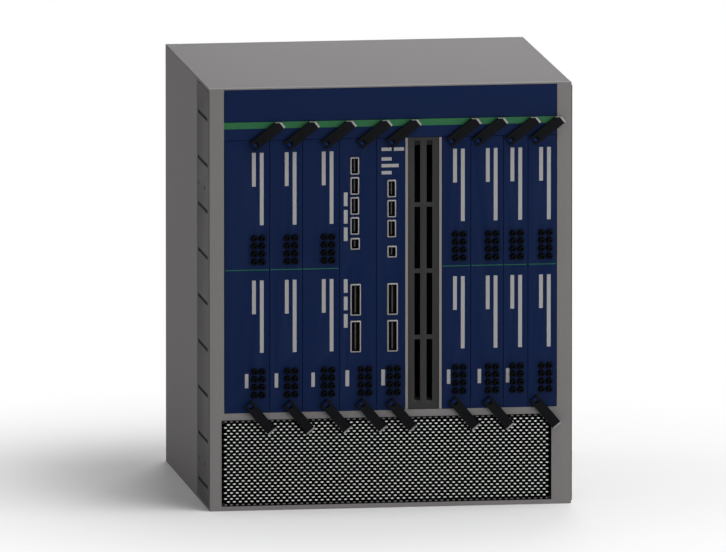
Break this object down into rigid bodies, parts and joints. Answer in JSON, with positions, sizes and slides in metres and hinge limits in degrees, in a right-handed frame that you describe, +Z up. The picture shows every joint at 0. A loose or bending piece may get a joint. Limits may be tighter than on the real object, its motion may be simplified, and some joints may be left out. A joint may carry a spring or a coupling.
{
  "type": "edge router",
  "caption": "Rack edge router chassis: blue plug-in cards with folding levers, a pull-out blower module above and a filtered intake grille below.",
  "frame": {"origin": "middle of the chassis floor", "axes": "+Z up, -Y out of the front, +X to the right of the front"},
  "size_m": [0.45, 0.4296, 0.523],
  "materials": {
    "chassis_grey": "fine-textured grey powder coat",
    "strip_grey": "dark grey powder coat",
    "card_blue": "satin dark blue paint",
    "lever_black": "moulded black plastic",
    "jack_black": "black jack bodies",
    "port_metal": "satin steel port shells",
    "filler_grey": "dark grey paint",
    "grille_black": "black paint",
    "filter_white": "white filter media",
    "guide_plastic": "moulded black plastic",
    "board_green": "solder mask",
    "tray_zinc": "zinc-plated sheet",
    "impeller_black": "moulded black plastic",
    "feed_case": "clear-finished sheet"
  },
  "bodies": {
    "chassis": {"chassis_tub": "chassis_grey", "top_cover": "chassis_grey", "rear_panel": "chassis_grey", "front_frame": "chassis_grey", "upper_rail": "card_blue", "side_rails": "strip_grey", "intake_grille": "grille_black", "air_filter": "filter_white", "slot_filler": "filler_grey", "card_guides": "guide_plastic", "backplane": "board_green", "power_modules": "feed_case"},
    "line_card_1": {"line_card_1_faceplate": "card_blue", "line_card_1_board": "board_green", "line_card_1_jacks": "jack_black"},
    "line_card_1_top_lever": {"line_card_1_top_lever": "lever_black"},
    "line_card_1_bottom_lever": {"line_card_1_bottom_lever": "lever_black"},
    "line_card_2": {"line_card_2_faceplate": "card_blue", "line_card_2_board": "board_green", "line_card_2_jacks": "jack_black"},
    "line_card_2_top_lever": {"line_card_2_top_lever": "lever_black"},
    "line_card_2_bottom_lever": {"line_card_2_bottom_lever": "lever_black"},
    "line_card_3": {"line_card_3_faceplate": "card_blue", "line_card_3_board": "board_green", "line_card_3_jacks": "jack_black"},
    "line_card_3_top_lever": {"line_card_3_top_lever": "lever_black"},
    "line_card_3_bottom_lever": {"line_card_3_bottom_lever": "lever_black"},
    "uplink_card": {"uplink_card_faceplate": "card_blue", "uplink_card_board": "board_green", "uplink_card_ports": "port_metal"},
    "uplink_card_top_lever": {"uplink_card_top_lever": "lever_black"},
    "uplink_card_bottom_lever": {"uplink_card_bottom_lever": "lever_black"},
    "processor_card": {"processor_card_faceplate": "card_blue", "processor_card_board": "board_green", "processor_card_ports": "port_metal"},
    "processor_card_top_lever": {"processor_card_top_lever": "lever_black"},
    "processor_card_bottom_lever": {"processor_card_bottom_lever": "lever_black"},
    "line_card_4": {"line_card_4_faceplate": "card_blue", "line_card_4_board": "board_green", "line_card_4_jacks": "jack_black"},
    "line_card_4_top_lever": {"line_card_4_top_lever": "lever_black"},
    "line_card_4_bottom_lever": {"line_card_4_bottom_lever": "lever_black"},
    "line_card_5": {"line_card_5_faceplate": "card_blue", "line_card_5_board": "board_green", "line_card_5_jacks": "jack_black"},
    "line_card_5_top_lever": {"line_card_5_top_lever": "lever_black"},
    "line_card_5_bottom_lever": {"line_card_5_bottom_lever": "lever_black"},
    "line_card_6": {"line_card_6_faceplate": "card_blue", "line_card_6_board": "board_green", "line_card_6_jacks": "jack_black"},
    "line_card_6_top_lever": {"line_card_6_top_lever": "lever_black"},
    "line_card_7": {"line_card_7_faceplate": "card_blue", "line_card_7_board": "board_green", "line_card_7_jacks": "jack_black"},
    "line_card_7_top_lever": {"line_card_7_top_lever": "lever_black"},
    "line_card_7_bottom_lever": {"line_card_7_bottom_lever": "lever_black"},
    "blower": {"blower_bezel": "card_blue", "blower_tray": "tray_zinc"},
    "impeller_left": {"impeller_left": "impeller_black"},
    "impeller_right": {"impeller_right": "impeller_black"}
  },
  "joints": [
    {"name": "line_card_1_slide", "type": "slide", "parent": "chassis", "child": "line_card_1", "axis": [0, -1, 0], "range_m": [0, 0.24]},
    {"name": "line_card_1_top_lever_hinge", "type": "hinge", "parent": "line_card_1", "child": "line_card_1_top_lever", "pos_m": [-0.16896, -0.205, 0.4535], "axis": [0.6157, 0, -0.788], "range_deg": [0, 75]},
    {"name": "line_card_1_bottom_lever_hinge", "type": "hinge", "parent": "line_card_1", "child": "line_card_1_bottom_lever", "pos_m": [-0.17506, -0.205, 0.1309], "axis": [-0.766, 0, -0.6428], "range_deg": [0, 75]},
    {"name": "line_card_2_slide", "type": "slide", "parent": "chassis", "child": "line_card_2", "axis": [0, -1, 0], "range_m": [0, 0.24]},
    {"name": "line_card_2_top_lever_hinge", "type": "hinge", "parent": "line_card_2", "child": "line_card_2_top_lever", "pos_m": [-0.12642, -0.205, 0.4535], "axis": [0.6157, 0, -0.788], "range_deg": [0, 75]},
    {"name": "line_card_2_bottom_lever_hinge", "type": "hinge", "parent": "line_card_2", "child": "line_card_2_bottom_lever", "pos_m": [-0.12702, -0.205, 0.1309], "axis": [-0.766, 0, -0.6428], "range_deg": [0, 75]},
    {"name": "line_card_3_slide", "type": "slide", "parent": "chassis", "child": "line_card_3", "axis": [0, -1, 0], "range_m": [0, 0.24]},
    {"name": "line_card_3_top_lever_hinge", "type": "hinge", "parent": "line_card_3", "child": "line_card_3_top_lever", "pos_m": [-0.0807, -0.205, 0.4535], "axis": [0.6157, 0, -0.788], "range_deg": [0, 75]},
    {"name": "line_card_3_bottom_lever_hinge", "type": "hinge", "parent": "line_card_3", "child": "line_card_3_bottom_lever", "pos_m": [-0.0813, -0.205, 0.1309], "axis": [-0.766, 0, -0.6428], "range_deg": [0, 75]},
    {"name": "uplink_card_slide", "type": "slide", "parent": "chassis", "child": "uplink_card", "axis": [0, -1, 0], "range_m": [0, 0.24]},
    {"name": "uplink_card_top_lever_hinge", "type": "hinge", "parent": "uplink_card", "child": "uplink_card_top_lever", "pos_m": [-0.03648, -0.205, 0.4535], "axis": [0.6157, 0, -0.788], "range_deg": [0, 75]},
    {"name": "uplink_card_bottom_lever_hinge", "type": "hinge", "parent": "uplink_card", "child": "uplink_card_bottom_lever", "pos_m": [-0.03738, -0.205, 0.1309], "axis": [-0.766, 0, -0.6428], "range_deg": [0, 75]},
    {"name": "processor_card_slide", "type": "slide", "parent": "chassis", "child": "processor_card", "axis": [0, -1, 0], "range_m": [0, 0.24]},
    {"name": "processor_card_top_lever_hinge", "type": "hinge", "parent": "processor_card", "child": "processor_card_top_lever", "pos_m": [-0.00032, -0.205, 0.4535], "axis": [0.6157, 0, -0.788], "range_deg": [0, 75]},
    {"name": "processor_card_bottom_lever_hinge", "type": "hinge", "parent": "processor_card", "child": "processor_card_bottom_lever", "pos_m": [-0.00002, -0.205, 0.1309], "axis": [-0.766, 0, -0.6428], "range_deg": [0, 75]},
    {"name": "line_card_4_slide", "type": "slide", "parent": "chassis", "child": "line_card_4", "axis": [0, -1, 0], "range_m": [0, 0.24]},
    {"name": "line_card_4_top_lever_hinge", "type": "hinge", "parent": "line_card_4", "child": "line_card_4_top_lever", "pos_m": [0.07406, -0.205, 0.4535], "axis": [0.6157, 0, -0.788], "range_deg": [0, 75]},
    {"name": "line_card_4_bottom_lever_hinge", "type": "hinge", "parent": "line_card_4", "child": "line_card_4_bottom_lever", "pos_m": [0.07776, -0.205, 0.1309], "axis": [-0.766, 0, -0.6428], "range_deg": [0, 75]},
    {"name": "line_card_5_slide", "type": "slide", "parent": "chassis", "child": "line_card_5", "axis": [0, -1, 0], "range_m": [0, 0.24]},
    {"name": "line_card_5_top_lever_hinge", "type": "hinge", "parent": "line_card_5", "child": "line_card_5_top_lever", "pos_m": [0.1069, -0.205, 0.4535], "axis": [0.6157, 0, -0.788], "range_deg": [0, 75]},
    {"name": "line_card_5_bottom_lever_hinge", "type": "hinge", "parent": "line_card_5", "child": "line_card_5_bottom_lever", "pos_m": [0.1202, -0.205, 0.1309], "axis": [-0.766, 0, -0.6428], "range_deg": [0, 75]},
    {"name": "line_card_6_slide", "type": "slide", "parent": "chassis", "child": "line_card_6", "axis": [0, -1, 0], "range_m": [0, 0.24]},
    {"name": "line_card_6_top_lever_hinge", "type": "hinge", "parent": "line_card_6", "child": "line_card_6_top_lever", "pos_m": [0.14738, -0.205, 0.4535], "axis": [0.6157, 0, -0.788], "range_deg": [0, 75]},
    {"name": "line_card_7_slide", "type": "slide", "parent": "chassis", "child": "line_card_7", "axis": [0, -1, 0], "range_m": [0, 0.24]},
    {"name": "line_card_7_top_lever_hinge", "type": "hinge", "parent": "line_card_7", "child": "line_card_7_top_lever", "pos_m": [0.17794, -0.205, 0.4535], "axis": [0.6157, 0, -0.788], "range_deg": [0, 75]},
    {"name": "line_card_7_bottom_lever_hinge", "type": "hinge", "parent": "line_card_7", "child": "line_card_7_bottom_lever", "pos_m": [0.17824, -0.205, 0.1309], "axis": [-0.766, 0, -0.6428], "range_deg": [0, 75]},
    {"name": "blower_slide", "type": "slide", "parent": "chassis", "child": "blower", "axis": [0, -1, 0], "range_m": [0, 0.24]},
    {"name": "impeller_left_spin", "type": "hinge", "parent": "blower", "child": "impeller_left", "pos_m": [-0.10287, -0.0575, 0.497], "axis": [0, 0, 1], "continuous": true},
    {"name": "impeller_right_spin", "type": "hinge", "parent": "blower", "child": "impeller_right", "pos_m": [0.10287, -0.0575, 0.497], "axis": [0, 0, 1], "continuous": true}
  ]
}
